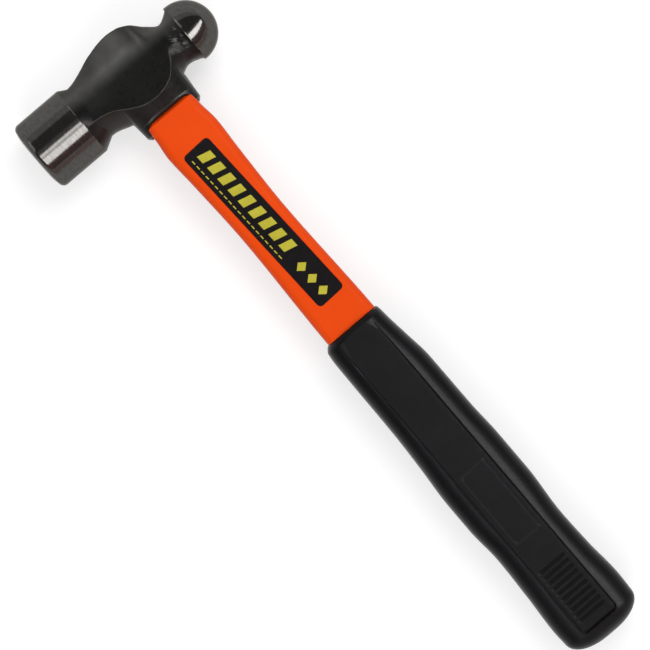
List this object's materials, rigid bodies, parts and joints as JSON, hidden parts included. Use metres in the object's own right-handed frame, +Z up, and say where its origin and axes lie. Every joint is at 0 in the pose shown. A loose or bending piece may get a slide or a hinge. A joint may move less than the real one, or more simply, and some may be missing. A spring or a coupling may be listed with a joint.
{
  "type": "ball peen hammer",
  "caption": "Ball peen hammer with a dark steel head, a fibreglass handle in an orange moulded jacket and a contoured black rubber grip.",
  "frame": {"origin": "below the middle of the tool's bounding box, on the surface that it lies on", "axes": "+X along the handle from the head to the butt, +Y from the striking face to the ball, +Z up, out of the labelled side"},
  "size_m": [0.342, 0.1, 0.034],
  "materials": {
    "head_steel": "forged steel, blackened and then polished, with fine turning marks on the poll and the ball",
    "fibreglass": "pultruded glass fibre in polyester, sealed inside the handle",
    "jacket_plastic": "orange injection-moulded polypropylene, satin gloss",
    "resin": "dark cast epoxy",
    "grip_rubber": "black moulded rubber, matt, with a fine mould texture",
    "label_film": null
  },
  "bodies": {
    "root": {"head": "head_steel", "fibreglass_core": "fibreglass", "handle_jacket": "jacket_plastic", "eye_resin": "resin", "grip": "grip_rubber", "label": "label_film"}
  },
  "joints": []
}
